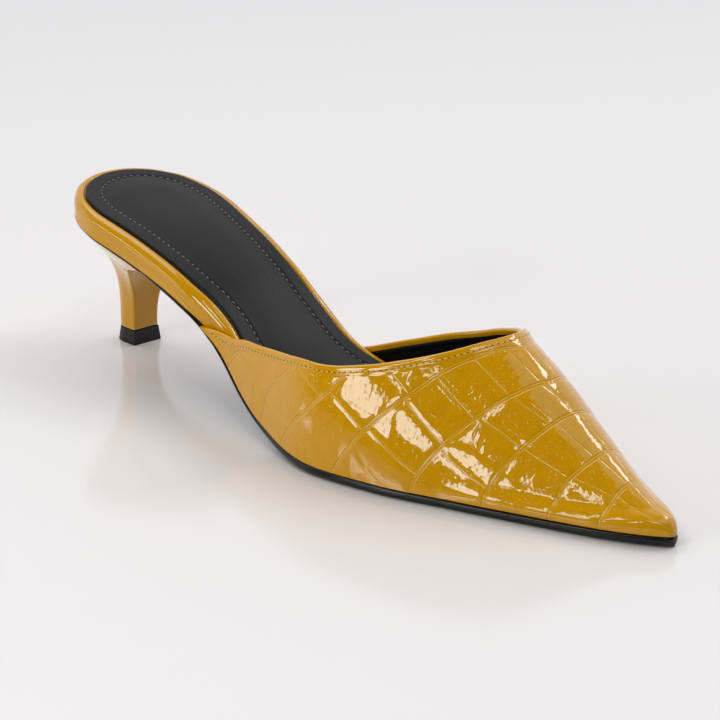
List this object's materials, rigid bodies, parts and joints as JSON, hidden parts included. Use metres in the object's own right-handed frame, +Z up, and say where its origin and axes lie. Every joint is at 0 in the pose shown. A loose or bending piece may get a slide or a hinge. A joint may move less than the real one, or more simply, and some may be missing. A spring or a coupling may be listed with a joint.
{
  "type": "kitten heel mule",
  "caption": "Backless pointed-toe mule for the right foot: croc-embossed patent vamp, padded black sock, thin outsole and low flared heel.",
  "frame": {"origin": "middle of the shoe's footprint box, on the floor", "axes": "+X towards the toe, +Y towards the medial (big toe) side, +Z up"},
  "size_m": [0.262, 0.0772, 0.0585],
  "materials": {
    "patent_croc": "mustard yellow patent, croc embossed, high gloss",
    "patent_smooth": "mustard yellow patent, smooth, high gloss",
    "sock_leather": "black fine-grain leather, soft sheen",
    "outsole": "black sole sheet with polished edge",
    "heel_tip_rubber": "black matt rubber"
  },
  "bodies": {
    "root": {"outsole": "outsole", "covered_board": "patent_smooth", "sock": "sock_leather", "upper": "patent_croc", "heel": "patent_smooth", "heel_tip": "heel_tip_rubber"}
  },
  "joints": []
}
